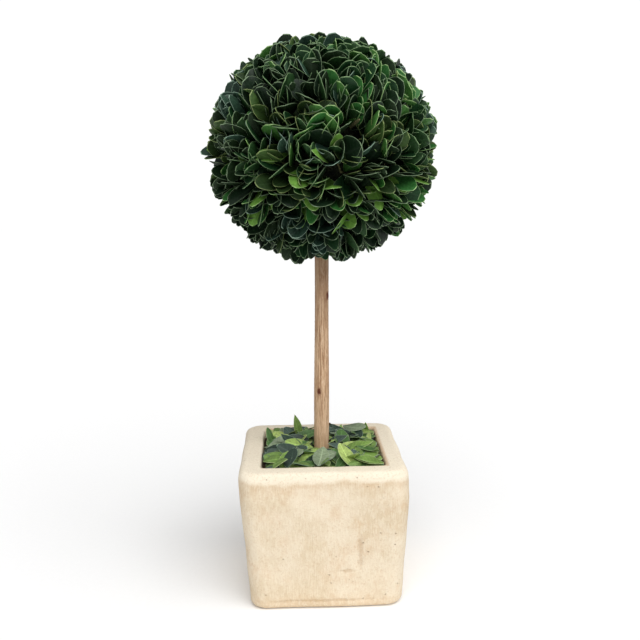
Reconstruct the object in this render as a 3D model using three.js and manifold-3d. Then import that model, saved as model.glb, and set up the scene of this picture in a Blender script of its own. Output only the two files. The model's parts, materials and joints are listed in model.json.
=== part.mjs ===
// A box topiary ball: preserved box sprigs set in a ball of moss, on a peeled wooden stem,
// which stands in a square clay pot.
// Millimetres, +Z up. The origin is the centre of the pot's flat underside, and its front faces -Y.
import * as THREE from "three";
import { mergeVertices } from "three/addons/utils/BufferGeometryUtils.js";
import Module from "manifold-3d";

// Driving dimensions.
const GAP = 0.3; // clearance between neighbouring pieces
const POT = {
  height: 101.5,
  width: 118, // across the widest part, under the rim
  footWidth: 108,
  lean: -1.5, // how far the rim's centre stands to -X of the foot's centre
  wall: 15.2, // thickness at the rim
  floor: 13,
  cavityFootWidth: 80,
  straightFrom: 0.79, // share of the height above which the sides stop widening
  corner: 11.5,
  cavityCorner: 4.5,
  rimRound: 5.5,
  lipRound: 1.6,
  footRound: 4.3,
  unevenness: 0.55, // how far the hand-pressed clay bulges in and out
};
const FILLER = { belowRim: 6.5 };
const LITTER = { belowRim: 2.6, relief: 2.2 };
const STEM = {
  foot: 26,
  tip: 326,
  footRadius: 5.6, // it tapers over the part that shows
  radius: 5.15,
  taperFrom: 105,
  taperTo: 185,
  footX: -1.8, // the stick leans a little to +X as it rises
  tipX: 1.2,
  unevenness: 0.12,
};
const KNOTS = [
  { height: 216, towards: -25, bump: 0.5 }, // degrees round from +X, the front being -90
  { height: 145, towards: -112, bump: 0.4 },
  { height: 262, towards: 150, bump: 0.45 },
];
const BALL = { radius: 78, height: 0.975, centre: 318, relief: 3.6, clumps: 130 };
const CORE = { radius: 56, height: 0.975, relief: 1.6, clumps: 50 };

// Mesh fineness.
const SIDE_STEPS = 6;
const CORNER_STEPS = 4;
const STEM_SIDES = 16;
const STEM_STEP = 11;
const BALL_DETAIL = 11;
const CORE_DETAIL = 6;
const DOME_OVERLAP = 1.5; // a dome's reach over half the distance to the next one

const GOLDEN_ANGLE = Math.PI * (3 - Math.sqrt(5));
const Z = new THREE.Vector3(0, 0, 1);

const wasm = await Module();
wasm.setup();

// ---------------------------------------------------------------- surfaces

// Joins rings of equally many points into one closed surface, with a fan across each end.
// Every ring runs anticlockwise about +Z, and the rings run up the outside first.
function loft(rings) {
  const sides = rings[0].length;
  const points = rings.flat();
  const middle = (ring) =>
    ring.reduce((sum, p) => sum.add(p), new THREE.Vector3()).divideScalar(sides);
  const firstMiddle = points.push(middle(rings[0])) - 1;
  const lastMiddle = points.push(middle(rings.at(-1))) - 1;
  const faces = [];
  for (let i = 0; i < sides; i++) {
    const j = (i + 1) % sides;
    faces.push(firstMiddle, j, i);
    for (let r = 0; r + 1 < rings.length; r++) {
      const low = r * sides;
      const high = low + sides;
      faces.push(low + i, low + j, high + j, low + i, high + j, high + i);
    }
    const top = (rings.length - 1) * sides;
    faces.push(lastMiddle, top + i, top + j);
  }
  const geometry = new THREE.BufferGeometry().setFromPoints(points);
  geometry.setIndex(faces);
  return geometry;
}

// A square ring with rounded corners, at one height.
function squareRing(halfWidth, corner, z, centreX = 0) {
  const straight = halfWidth - corner;
  const ring = [];
  for (let side = 0; side < 4; side++) {
    const turn = (side * Math.PI) / 2;
    const place = (x, y) => {
      const p = new THREE.Vector3(x, y, 0).applyAxisAngle(Z, turn);
      ring.push(p.add(new THREE.Vector3(centreX, 0, z)));
    };
    for (let i = 0; i < SIDE_STEPS; i++) {
      place(halfWidth, straight * ((2 * i) / SIDE_STEPS - 1));
    }
    for (let i = 0; i < CORNER_STEPS; i++) {
      const angle = ((i / CORNER_STEPS) * Math.PI) / 2;
      place(straight + corner * Math.cos(angle), straight + corner * Math.sin(angle));
    }
  }
  return ring;
}

// Points of a quarter round, from an inset of zero at the start to the full radius at the end.
function quarterRound(radius, steps) {
  return Array.from({ length: steps + 1 }, (_, i) => {
    const angle = ((i / steps) * Math.PI) / 2;
    return { rise: radius * Math.sin(angle), inset: radius * (1 - Math.cos(angle)) };
  });
}

// A slow, fixed swell and dip over space, between about -1 and 1.
function swell(p, wavelength) {
  const k = (2 * Math.PI) / wavelength;
  return (
    0.5 * Math.sin(k * (p.x + 0.6 * p.z) + 0.4) +
    0.3 * Math.sin(k * 1.7 * (p.y - 0.5 * p.z) + 1.9) +
    0.2 * Math.sin(k * 2.3 * (p.z + 0.4 * p.x - 0.3 * p.y) + 4.1)
  );
}

// A sphere covered in low domes, one to each clump of sprigs, no two of the same height.
// Its height is a given share of its width.
function clumpedSphere({ radius, height, relief, clumps }, detail, grow = 0) {
  const domes = Array.from({ length: clumps }, (_, i) => ({
    middle: sunflower(i, clumps),
    top: relief * (0.7 + 0.3 * Math.sin(GOLDEN_ANGLE * i * i)),
  }));
  const reach = Math.sqrt(4 / clumps) * DOME_OVERLAP;
  const geometry = mergedByPlace(new THREE.IcosahedronGeometry(1, detail));
  const at = geometry.getAttribute("position");
  const p = new THREE.Vector3();
  for (let i = 0; i < at.count; i++) {
    p.fromBufferAttribute(at, i).normalize();
    const rise = Math.max(
      ...domes.map((dome) => dome.top * (1 - (p.angleTo(dome.middle) / reach) ** 2)),
      0,
    );
    p.multiplyScalar(radius + rise + grow);
    at.setXYZ(i, p.x + BALL_CENTRE.x, p.y, p.z * height + BALL_CENTRE.z);
  }
  return geometry;
}

// The i-th of n directions spread evenly over a sphere, on the golden-angle spiral of a sunflower head.
function sunflower(i, n) {
  const up = 1 - (2 * (i + 0.5)) / n;
  const turn = i * GOLDEN_ANGLE;
  const out = Math.sqrt(1 - up * up);
  return new THREE.Vector3(out * Math.cos(turn), out * Math.sin(turn), up);
}

// ---------------------------------------------------------------- solids

function mergedByPlace(geometry) {
  const bare = geometry.clone();
  bare.deleteAttribute("normal");
  bare.deleteAttribute("uv");
  return mergeVertices(bare, 1e-4);
}

function solidOf(geometry) {
  const merged = mergedByPlace(geometry);
  return new wasm.Manifold(
    new wasm.Mesh({
      numProp: 3,
      vertProperties: merged.attributes.position.array,
      triVerts: new Uint32Array(merged.index.array),
    }),
  );
}

function geometryOf(solid) {
  const mesh = solid.getMesh();
  return new THREE.BufferGeometry()
    .setAttribute("position", new THREE.BufferAttribute(mesh.vertProperties, 3))
    .setIndex(new THREE.BufferAttribute(mesh.triVerts, 1));
}

// ---------------------------------------------------------------- pot

const rimX = (z) => (POT.lean * z) / POT.height;

// Half the outer width at a height, before the rim and the foot are rounded.
function outerHalf(z) {
  const share = Math.min(1, z / (POT.straightFrom * POT.height));
  return THREE.MathUtils.lerp(POT.footWidth, POT.width, share) / 2;
}

// Half the cavity's width at a height.
function cavityHalf(z) {
  const share = (z - POT.floor) / (POT.height - POT.floor);
  return THREE.MathUtils.lerp(POT.cavityFootWidth, POT.width - 2 * POT.wall, share) / 2;
}

function potGeometry() {
  const rings = [];
  const add = (half, corner, z) => rings.push(squareRing(half, corner, z, rimX(z)));
  const outer = (z, inset) => add(outerHalf(z) - inset, POT.corner - 0.4 * inset, z);
  for (const { rise, inset } of quarterRound(POT.footRound, 3).reverse()) {
    outer(POT.footRound - rise, inset);
  }
  const sideTop = POT.height - POT.rimRound;
  const sideSteps = 8;
  for (let i = 1; i < sideSteps; i++) {
    outer(THREE.MathUtils.lerp(POT.footRound, sideTop, i / sideSteps), 0);
  }
  for (const { rise, inset } of quarterRound(POT.rimRound, 4)) outer(sideTop + rise, inset);
  for (const { rise, inset } of quarterRound(POT.lipRound, 2).reverse()) {
    const z = POT.height - POT.lipRound + rise;
    add(cavityHalf(POT.height) + inset, POT.cavityCorner, z);
  }
  add(cavityHalf(POT.floor), POT.cavityCorner, POT.floor);
  // The clay bulges a little everywhere but on the flat underside and inside the cavity.
  const innerFrom = rings.length - 4;
  rings.slice(1, innerFrom).forEach((ring) => {
    for (const p of ring) {
      const outwards = new THREE.Vector3(p.x, p.y, 0).normalize();
      p.addScaledVector(outwards, POT.unevenness * swell(p, 74));
    }
  });
  return loft(rings);
}

// ---------------------------------------------------------------- stem

function stemCentre(z) {
  const share = (z - STEM.foot) / (STEM.tip - STEM.foot);
  return THREE.MathUtils.lerp(STEM.footX, STEM.tipX, share);
}

// A peeled stick with a flat cut at both ends, a little out of round, with a swelling at each knot.
function stemGeometry(grow = 0) {
  const steps = Math.round((STEM.tip - STEM.foot) / STEM_STEP);
  const heights = Array.from({ length: steps + 1 }, (_, i) =>
    THREE.MathUtils.lerp(STEM.foot - grow, STEM.tip + grow, i / steps),
  );
  for (const knot of KNOTS) heights.push(knot.height - 3, knot.height, knot.height + 3);
  heights.sort((a, b) => a - b);
  const apart = heights.filter((z, i) => i === 0 || z - heights[i - 1] > 1);
  return loft(
    apart.map((z) =>
      Array.from({ length: STEM_SIDES }, (_, i) => {
        const angle = (2 * Math.PI * i) / STEM_SIDES;
        const outwards = new THREE.Vector3(Math.cos(angle), Math.sin(angle), 0);
        const radius = stemRadius(z) + grow + stemRelief(angle, z);
        return outwards.multiplyScalar(radius).add(new THREE.Vector3(stemCentre(z), 0, z));
      }),
    ),
  );
}

function stemRadius(z) {
  const share = THREE.MathUtils.smoothstep(z, STEM.taperFrom, STEM.taperTo);
  return THREE.MathUtils.lerp(STEM.footRadius, STEM.radius, share);
}

function stemRelief(angle, z) {
  let relief = STEM.unevenness * (Math.sin(2 * angle + z / 60) + Math.sin(z / 19));
  for (const knot of KNOTS) {
    const facing = THREE.MathUtils.degToRad(knot.towards);
    const turn = Math.max(0, Math.cos(angle - facing));
    relief += knot.bump * turn ** 6 * Math.exp(-(((z - knot.height) / 5) ** 2));
  }
  return relief;
}

// ---------------------------------------------------------------- filler and fallen leaves

// The plaster and moss that hold the stem, filling the cavity to just under the leaves.
function fillerGeometry() {
  const bottom = POT.floor + GAP;
  const top = POT.height - FILLER.belowRim;
  return loft(
    [bottom, top].map((z) => squareRing(cavityHalf(z) - GAP, POT.cavityCorner - GAP, z, rimX(z))),
  );
}

// The layer of loose leaves on the filler: a flat slab with a heaped, bumpy top, highest round the stem.
function litterGeometry() {
  const bottom = POT.height - FILLER.belowRim + GAP;
  const top = POT.height - LITTER.belowRim;
  const ringAt = (share, z) => {
    const half = share * (cavityHalf(bottom) - GAP);
    return squareRing(half, share * (POT.cavityCorner - GAP), z, rimX(z));
  };
  const rings = [ringAt(1, bottom), ringAt(1, bottom + 1)];
  for (const share of [0.93, 0.8, 0.66, 0.52, 0.38, 0.24, 0.1]) {
    const ring = ringAt(share, top);
    for (const p of ring) p.z += LITTER.relief * (swell(p, 38) + 0.6 * (1 - share));
    rings.push(ring);
  }
  return loft(rings);
}

// ---------------------------------------------------------------- the ball

const BALL_CENTRE = new THREE.Vector3(stemCentre(BALL.centre), 0, BALL.centre);

// The ball of moss that the sprigs are pushed into.
const coreGeometry = (grow = 0) => clumpedSphere(CORE, CORE_DETAIL, grow);

// The leaves stand on the core all round. Their mass is a thick skin, open only where the stem passes.
const foliageGeometry = () => clumpedSphere(BALL, BALL_DETAIL);

// ---------------------------------------------------------------- assembly

const plant = new THREE.Group();

function piece(name, geometry, color, roughness) {
  const material = new THREE.MeshStandardMaterial({ color, roughness, metalness: 0 });
  geometry.computeVertexNormals();
  const mesh = new THREE.Mesh(geometry, material);
  mesh.name = name;
  plant.add(mesh);
}

const stemRoom = solidOf(stemGeometry(GAP));
const coreRoom = solidOf(coreGeometry(GAP));
const stemPassage = (geometry) => solidOf(geometry).subtract(stemRoom);

piece("pot", potGeometry(), 0xefdec5, 0.85);
piece("filler", geometryOf(stemPassage(fillerGeometry())), 0x3b3128, 0.95);
piece("leaf_litter", geometryOf(stemPassage(litterGeometry())), 0x62703f, 0.6);
piece("stem", stemGeometry(), 0xbea082, 0.7);
piece("moss_core", geometryOf(stemPassage(coreGeometry())), 0x1d2117, 0.95);
piece("leaf_ball", geometryOf(stemPassage(foliageGeometry()).subtract(coreRoom)), 0x1f3a1c, 0.5);

export default plant;
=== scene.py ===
# %% [markdown]
# # A box topiary ball
# Florists push preserved box sprigs into a ball of moss until the leaves close over it. The ball
# sits on a peeled stick, and the stick is set in a thick square clay pot topped with loose leaves.
# This notebook gives the plain solids of the model their real surfaces: clay, wood, moss, twigs
# and some thousands of leaves. Lengths are in metres, and every piece stays in the model's frame.

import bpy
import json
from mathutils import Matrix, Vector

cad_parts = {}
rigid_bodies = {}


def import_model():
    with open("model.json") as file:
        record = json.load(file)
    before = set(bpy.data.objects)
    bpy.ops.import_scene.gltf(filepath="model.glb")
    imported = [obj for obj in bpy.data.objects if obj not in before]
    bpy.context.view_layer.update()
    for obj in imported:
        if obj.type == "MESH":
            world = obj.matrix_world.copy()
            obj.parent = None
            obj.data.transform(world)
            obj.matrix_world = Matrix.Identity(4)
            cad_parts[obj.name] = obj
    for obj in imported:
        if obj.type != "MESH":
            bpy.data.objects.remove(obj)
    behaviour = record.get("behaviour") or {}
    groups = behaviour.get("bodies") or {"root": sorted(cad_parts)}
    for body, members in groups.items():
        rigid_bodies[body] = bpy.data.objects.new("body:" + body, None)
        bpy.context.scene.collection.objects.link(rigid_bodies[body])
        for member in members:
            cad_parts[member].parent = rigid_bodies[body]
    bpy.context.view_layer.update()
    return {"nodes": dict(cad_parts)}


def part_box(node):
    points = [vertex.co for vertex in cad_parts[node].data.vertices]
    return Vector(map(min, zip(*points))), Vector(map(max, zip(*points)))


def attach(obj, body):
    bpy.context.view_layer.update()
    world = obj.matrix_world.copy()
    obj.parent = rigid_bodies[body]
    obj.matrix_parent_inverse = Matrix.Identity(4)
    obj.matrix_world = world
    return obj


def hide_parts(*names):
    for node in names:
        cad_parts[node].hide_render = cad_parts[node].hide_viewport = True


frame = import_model()
print("solids:", sorted(frame["nodes"]))

# %% [markdown]
# ## Tools
# Points and faces are worked out as plain numbers and turned into a mesh at the end, which keeps
# every shape easy to check. A finished piece is then settled: it rides on the plant's one body, and
# the plain solids it stands for are hidden.

# %% Tools of the notebook
import json
import math

import bpy
import numpy as np
from mathutils import Matrix

MM = 0.001
scene = bpy.context.scene


def new_piece(name, points, faces=(), edges=()):
    """A mesh object made from points and faces, or from points and edges."""
    mesh = bpy.data.meshes.new(name)
    mesh.from_pydata(np.asarray(points).tolist(), list(edges), [list(f) for f in faces])
    mesh.polygons.foreach_set("use_smooth", [True] * len(mesh.polygons))
    piece = bpy.data.objects.new(name, mesh)
    scene.collection.objects.link(piece)
    return piece


def settle(piece, slot, *nodes):
    """Puts a finished piece on the plant's one body, in place of the solids it stands for."""
    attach(piece, "root")
    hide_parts(*nodes)
    triangles = sum(len(p.vertices) - 2 for p in piece.data.polygons)
    print(f"{piece.name}: {triangles} triangles")


def unit(v):
    return v / np.linalg.norm(v, axis=-1, keepdims=True)


# %% [markdown]
# ## The viewpoint
# A small plant is looked at from a little over half a metre, with the eye just below the middle of
# the ball and tipped down towards the pot. An eye this close makes the pot's sides run together
# towards the foot, so the distance matters as much as the angle.

# %% Camera
EYE_DISTANCE = 0.556
EYE_HEIGHT = 0.291
EYE_ASIDE = -0.0013
EYE_AZIMUTH = math.radians(-2.11)
EYE_PITCH = math.radians(9.54)
EYE_ROLL = math.radians(-0.56)
FOCAL_LENGTH = 43.3

camera = bpy.data.objects.new("camera", bpy.data.cameras.new("camera"))
camera.data.sensor_width = 36
camera.data.lens = FOCAL_LENGTH
heading = Matrix.Rotation(EYE_AZIMUTH, 4, "Z")
tip_down = Matrix.Rotation(math.pi / 2 - EYE_PITCH, 4, "X")
camera.matrix_world = (
    heading
    @ Matrix.Translation((EYE_ASIDE, -EYE_DISTANCE, EYE_HEIGHT))
    @ tip_down
    @ Matrix.Rotation(EYE_ROLL, 4, "Z")
)
camera.data.clip_start = 0.01
scene.collection.objects.link(camera)
scene.camera = camera
print("eye:", [round(c, 3) for c in camera.matrix_world.translation])

# %% [markdown]
# ## Nodes as sums
# A material is a sum of patterns, so it reads best written as one. `Wire` wraps a socket and
# answers to +, - and *; `Board` adds any other node in one call. The same two classes build the
# Geometry Nodes trees further down, which is why they know nothing of shaders.


# %% Wires and boards
class Wire:
    """The output socket of a node, used in sums like a number."""

    def __init__(self, board, socket):
        self.board, self.socket = board, socket

    def __add__(self, other):
        return self.board.math("ADD", self, other)

    def __sub__(self, other):
        return self.board.math("SUBTRACT", self, other)

    def __rsub__(self, other):
        return self.board.math("SUBTRACT", other, self)

    def __mul__(self, other):
        return self.board.math("MULTIPLY", self, other)

    __radd__ = __add__
    __rmul__ = __mul__


class Board:
    """A node tree that grows one node at a time."""

    def __init__(self, tree):
        self.tree = tree

    def node(self, kind, settings=None, sockets=None, out=0):
        """Adds a node: settings first, then sockets, by name or by place among those shown."""
        made = self.tree.nodes.new(kind)
        for name, value in (settings or {}).items():
            setattr(made, name, value)
        for key, value in (sockets or {}).items():
            self.plug(made, key, value)
        shown = [s for s in made.outputs if s.enabled]
        return Wire(self, shown[out]) if shown else made

    def plug(self, made, key, value):
        shown = [s for s in made.inputs if s.enabled]
        socket = shown[key] if isinstance(key, int) else {s.name: s for s in shown}[key]
        if isinstance(value, Wire):
            self.tree.links.new(value.socket, socket)
        elif value is not None:
            socket.default_value = value

    def math(self, operation, *values):
        return self.node("ShaderNodeMath", {"operation": operation}, dict(enumerate(values)))

    def coordinate(self, place, which):
        """One number of a place: 0 across, 1 deep, 2 up."""
        return self.node("ShaderNodeSeparateXYZ", {}, {0: place}, out=which)

    def blend(self, mask, a, b):
        """Colour a where the mask is 0 and colour b where it is 1."""
        return self.node("ShaderNodeMix", {"data_type": "RGBA"}, {0: mask, 1: a, 2: b})

    def layered(self, base, layers):
        """A base colour under layers, each a mask, how strong it is, and a paint code."""
        colour = linear(base)
        for mask, strength, code in layers:
            colour = self.blend(mask * strength, colour, linear(code))
        return colour

    def ease(self, value, low, high):
        """A smooth step of a value from 0 at the low level to 1 at the high one."""
        levels = {0: value, 1: low, 2: high, 3: 0.0, 4: 1.0}
        return self.node("ShaderNodeMapRange", {"interpolation_type": "SMOOTHSTEP"}, levels)

    def noise(self, at, scale, detail=2.0, roughness=0.5):
        levels = {"Scale": scale, "Detail": detail, "Roughness": roughness}
        return self.node("ShaderNodeTexNoise", {}, {"Vector": at, **levels})


print("calls of a board:", [call for call in vars(Board) if not call.startswith("_")])


# %% [markdown]
# ### Paint and finishes
# Colours are written as paint codes. A finish is a board that ends in a shader: what is the same
# all over a surface is set on the shader itself, and what varies is plugged in. Patterns start from
# the place on the piece, so they go through the clay or the wood and need no unwrapping.


# %% Paint and finishes
def linear(code):
    """The colour of a paint code such as "efdec5", as the renderer counts light."""
    parts = [int(code[i : i + 2], 16) / 255 for i in (0, 2, 4)]
    return tuple(p / 12.92 if p <= 0.04045 else ((p + 0.055) / 1.055) ** 2.4 for p in parts) + (1,)


class Finish(Board):
    """A material, with its shader's own constants set straight on the shader."""

    def __init__(self, name, **constants):
        self.material = bpy.data.materials.new(name)
        self.material.use_nodes = True
        super().__init__(self.material.node_tree)
        self.shader = self.tree.nodes["Principled BSDF"]
        for key, value in constants.items():
            self.shader.inputs[key.replace("_", " ")].default_value = value
        self.place = self.node("ShaderNodeTexCoord", out=3)

    def stretched(self, scale, turn=(0, 0, 0)):
        """The place on the piece, turned and stretched, for patterns that run one way."""
        return self.node(
            "ShaderNodeMapping", {}, {"Vector": self.place, "Rotation": turn, "Scale": scale}
        )

    def done(self, colour, roughness=None, height=None, depth=0.0):
        """Plugs in what varies. The height is in units of the depth, which is in metres."""
        self.plug(self.shader, "Base Color", colour)
        self.plug(self.shader, "Roughness", roughness)
        if height is not None:
            bump = self.node("ShaderNodeBump", {}, {"Distance": depth, "Height": height})
            self.plug(self.shader, "Normal", bump)
        return self.material


print("a pale clay in linear light:", [round(part, 3) for part in linear("e8d9c0")])


# %% [markdown]
# ## Growing with Geometry Nodes
# A tree is built once and used with other numbers for every piece that needs it. `grow` sets the
# inputs, lets Blender work the tree out, and keeps the result as a plain mesh.

# %% Geometry trees
KINDS = {
    float: "NodeSocketFloat",
    int: "NodeSocketInt",
    "material": "NodeSocketMaterial",
    "collection": "NodeSocketCollection",
}


def new_tree(name, **inputs):
    """A geometry tree with named inputs. Gives its board, its incoming geometry and its inputs."""
    tree = bpy.data.node_groups.new(name, "GeometryNodeTree")
    tree.interface.new_socket("Geometry", in_out="INPUT", socket_type="NodeSocketGeometry")
    tree.interface.new_socket("Geometry", in_out="OUTPUT", socket_type="NodeSocketGeometry")
    for label, kind in inputs.items():
        tree.interface.new_socket(label, in_out="INPUT", socket_type=KINDS[kind])
    board = Board(tree)
    entry = tree.nodes.new("NodeGroupInput")
    wires = {s.name: Wire(board, s) for s in entry.outputs if s.name}
    return board, wires


def end_tree(board, geometry):
    leave = board.tree.nodes.new("NodeGroupOutput")
    board.tree.links.new(geometry.socket, leave.inputs[0])
    return board.tree


def grow(piece, tree, **values):
    """Runs a tree on a piece and keeps what it makes as the piece's own plain mesh."""
    modifier = piece.modifiers.new(tree.name, "NODES")
    modifier.node_group = tree
    for item in tree.interface.items_tree:
        if item.in_out == "INPUT" and item.name in values:
            modifier[item.identifier] = values[item.name]
    graph = bpy.context.evaluated_depsgraph_get()
    made = bpy.data.meshes.new_from_object(piece.evaluated_get(graph), depsgraph=graph)
    piece.modifiers.clear()
    piece.data = made
    made.name = piece.name


def surface_material(geometry, material, selection=None):
    sockets = {"Geometry": geometry, "Material": material}
    if selection is not None:
        sockets["Selection"] = selection
    return geometry.board.node("GeometryNodeSetMaterial", {}, sockets)


print("kinds of input:", len(KINDS))


# %% [markdown]
# ## A rough skin
# Clay pressed by hand, moss and plaster are all a smooth shape with small chance hills on it. One
# tree does them all: it moves every point along its normal by a noise. Points below a given
# height stay put, so that what stands on the table stays flat.


# %% The roughening tree
FREE_ABOVE_FOOT = 4 * MM


def roughening_tree():
    sizes = {label: float for label in ("Height", "Grain", "Detail", "Seed", "Foot")}
    board, given = new_tree("roughen", **sizes, Finish="material")
    noise = board.node(
        "ShaderNodeTexNoise",
        {"noise_dimensions": "4D"},
        {"W": given["Seed"], "Scale": given["Grain"], "Detail": given["Detail"]},
    )
    place = board.node("GeometryNodeInputPosition")
    up = board.coordinate(place, 2)
    free = board.ease(up, given["Foot"], given["Foot"] + FREE_ABOVE_FOOT)
    push = (noise - 0.5) * 2 * given["Height"] * free
    normal = board.node("GeometryNodeInputNormal")
    offset = board.node("ShaderNodeVectorMath", {"operation": "SCALE"}, {0: normal, "Scale": push})
    moved = board.node(
        "GeometryNodeSetPosition", {}, {"Geometry": given["Geometry"], "Offset": offset}
    )
    realized = board.node("GeometryNodeRealizeInstances", {}, {"Geometry": moved})
    return end_tree(board, surface_material(realized, given["Finish"]))


roughen = roughening_tree()
print("roughen:", len(roughen.nodes), "nodes")

# %% [markdown]
# ## The pot
# A square pot pressed by hand in a mould: thick walls, soft corners, and sides that bulge and dip
# by a fraction of a millimetre. A lathe can't turn a square, so it is lofted: one rounded square
# after another, up the outside, over the rim and down the inside.

# %% Pot sizes
pot_low, pot_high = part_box("pot")
POT_HEIGHT = pot_high.z
POT_WIDTH = 118 * MM
FOOT_WIDTH = 108 * MM
RIM_SHIFT = -1.5 * MM
WALL = 15.2 * MM
POT_FLOOR = 13 * MM
CAVITY_FOOT = 80 * MM
STRAIGHT_FROM = 0.79
CORNER = 11.5 * MM
CORNER_PINCH = 0.4
CAVITY_CORNER = 4.5 * MM
RIM_ROUND = 5.5 * MM
LIP_ROUND = 1.6 * MM
FOOT_ROUND = 4.3 * MM
# How many rings the foot, the side, the rim, the lip and the cavity get.
FOOT_RINGS, SIDE_RINGS, RIM_RINGS, LIP_RINGS, CAVITY_RINGS = 6, 48, 8, 4, 20
print("pot:", [round(1000 * s, 1) for s in pot_high - pot_low], "mm")

# %% [markdown]
# ### Rings and lofts
# A ring is a flat loop of points, and a loft joins each ring to the next with four-sided faces and
# closes the two ends. Every ring of a loft has the same number of points, so the corners of the
# square stay in line from the foot to the rim.


# %% Rounded squares and lofts
def square_ring(half, corner, z, shift=0.0, side_steps=46, corner_steps=8):
    """A ring of points round a square with rounded corners, anticlockwise seen from above."""
    straight = half - corner
    run = np.linspace(-straight, straight, side_steps, endpoint=False)
    turn = np.linspace(0, math.pi / 2, corner_steps, endpoint=False)
    x = np.r_[np.full(side_steps, half), straight + corner * np.cos(turn)]
    y = np.r_[run, straight + corner * np.sin(turn)]
    quarters = [(x, y), (-y, x), (-x, -y), (y, -x)]
    flat = np.concatenate([np.stack(q, 1) for q in quarters])
    return np.c_[flat + [shift, 0], np.full(len(flat), z)]


def loft(rings):
    """The points and faces of a closed skin over rings that climb the outside first."""
    count = len(rings[0])
    i = np.arange(count)
    j = (i + 1) % count
    low = np.arange(len(rings) - 1)[:, None] * count
    quads = np.stack([low + i, low + j, low + j + count, low + i + count], -1).reshape(-1, 4)
    last = (len(rings) - 1) * count
    faces = [*quads.tolist(), i[::-1].tolist(), (last + i).tolist()]
    return np.concatenate(rings), faces


def quarter_round(radius, steps):
    """How far a rounded edge has risen and pulled in, from its start to its end."""
    turn = np.linspace(0, math.pi / 2, steps + 1)
    return list(zip(radius * np.sin(turn), radius * (1 - np.cos(turn))))


print("points in a ring:", len(square_ring(POT_WIDTH / 2, CORNER, 0)))


# %% The pot's rings
def outer_half(z):
    return np.interp(z, [0, STRAIGHT_FROM * POT_HEIGHT], [FOOT_WIDTH / 2, POT_WIDTH / 2])


def cavity_half(z):
    return np.interp(z, [POT_FLOOR, POT_HEIGHT], [CAVITY_FOOT / 2, POT_WIDTH / 2 - WALL])


def rim_shift(z):
    return RIM_SHIFT * z / POT_HEIGHT


def pot_rings():
    """The rings in order: underside, foot, side, rim, lip, and down the cavity to its floor."""
    profile = []

    def outer(z, inset):
        profile.append((outer_half(z) - inset, CORNER - CORNER_PINCH * inset, z))

    for share in (0.3, 0.97):
        profile.append((share * (outer_half(0) - FOOT_ROUND), share * CORNER, 0))
    for rise, inset in reversed(quarter_round(FOOT_ROUND, FOOT_RINGS)):
        outer(FOOT_ROUND - rise, inset)
    side_top = POT_HEIGHT - RIM_ROUND
    for z in np.linspace(FOOT_ROUND, side_top, SIDE_RINGS)[1:-1]:
        outer(z, 0)
    for rise, inset in quarter_round(RIM_ROUND, RIM_RINGS):
        outer(side_top + rise, inset)
    rim_inner = cavity_half(POT_HEIGHT) + LIP_ROUND
    rim_outer = outer_half(POT_HEIGHT) - RIM_ROUND
    for share in (0.25, 0.5, 0.75):
        half = rim_outer + share * (rim_inner - rim_outer)
        profile.append((half, CORNER + share * (CAVITY_CORNER - CORNER), POT_HEIGHT))
    for rise, inset in reversed(quarter_round(LIP_ROUND, LIP_RINGS)):
        z = POT_HEIGHT - LIP_ROUND + rise
        profile.append((cavity_half(POT_HEIGHT) + inset, CAVITY_CORNER, z))
    for z in np.linspace(POT_HEIGHT - LIP_ROUND, POT_FLOOR, CAVITY_RINGS)[1:]:
        profile.append((cavity_half(z), CAVITY_CORNER, z))
    return [square_ring(half, corner, z, rim_shift(z)) for half, corner, z in profile]


pot_points, pot_faces = loft(pot_rings())
print("pot points:", len(pot_points))

# %% [markdown]
# ### The maker's hand
# No side of a hand-pressed pot is flat. Three slow waves swell and sink the walls, and a few marks
# are pressed into the front, each a soft hollow that fades with the distance from its middle.

# %% Swells, a crease and dents
SWELL = 0.55 * MM
SWELL_LENGTH = 74 * MM
# Each wave: its share of the swell, how many to a swell length, the way it runs, and its start.
WAVES = (
    (0.5, 1.0, (1, 0, 0.6), 0.4),
    (0.3, 1.7, (0, 1, -0.5), 1.9),
    (0.2, 2.3, (0.4, -0.3, 1), 4.1),
)
RIM_MARGIN = 3 * MM
FRONT_FROM = -45 * MM
# Marks pressed into the front: middle x and z, half width, half height and depth.
CREASE = (23 * MM, 42 * MM, 2.2 * MM, 15 * MM, 1.0 * MM)
NICK = (14 * MM, 29 * MM, 5.5 * MM, 1.5 * MM, 0.7 * MM)
SEAM = (-4 * MM, 6.5 * MM, 44 * MM, 1.2 * MM, 0.6 * MM)
PIT = (6 * MM, 40 * MM, 0.9 * MM, 0.9 * MM, 0.8 * MM)


def slow_swell(p):
    k = 2 * math.pi / SWELL_LENGTH
    return sum(share * np.sin(k * pace * (p @ run) + start) for share, pace, run, start in WAVES)


def pressed(points):
    """The pot's points after the hand has been over them. The underside stays flat."""
    p = points.copy()
    outwards = unit(p * [1, 1, 0])
    outside = (np.abs(p[:, :2]).max(1) > cavity_half(POT_HEIGHT) + RIM_MARGIN) & (p[:, 2] > 0)
    p += outwards * (SWELL * slow_swell(p) * outside)[:, None]
    front = (p[:, 1] < FRONT_FROM) & (p[:, 2] > 0)
    for x, z, width, height, depth in (CREASE, NICK, SEAM, PIT):
        away = ((p[:, 0] - x) / width) ** 2 + ((p[:, 2] - z) / height) ** 2
        p[:, 1] += depth * np.exp(-away) * front
    return p


pressed_points = pressed(pot_points)
pot = new_piece("clay_pot", pressed_points, pot_faces)
moved = np.linalg.norm(pressed_points - pot_points, axis=1)
print("deepest mark or swell:", round(1000 * moved.max(), 2), "mm")

# %% [markdown]
# ## The clay
# Dry cream clay under a thin pale wash. The wash lies unevenly, so broad patches lean to pink or to
# white; the smoothing cloth has left faint strokes, up and down at the foot and slantwise in the
# middle; and air bubbles have left pits. The rounded edge of the rim is painted pale as a painted
# highlight, its flat top painted paler as painted light, and the pits and pressed marks are painted
# dark as painted shade. All of it is worked out from the place on the pot.


# %% Clay finish
FACE_Y = -58 * MM
MARK_REACH = 12 * MM


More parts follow.
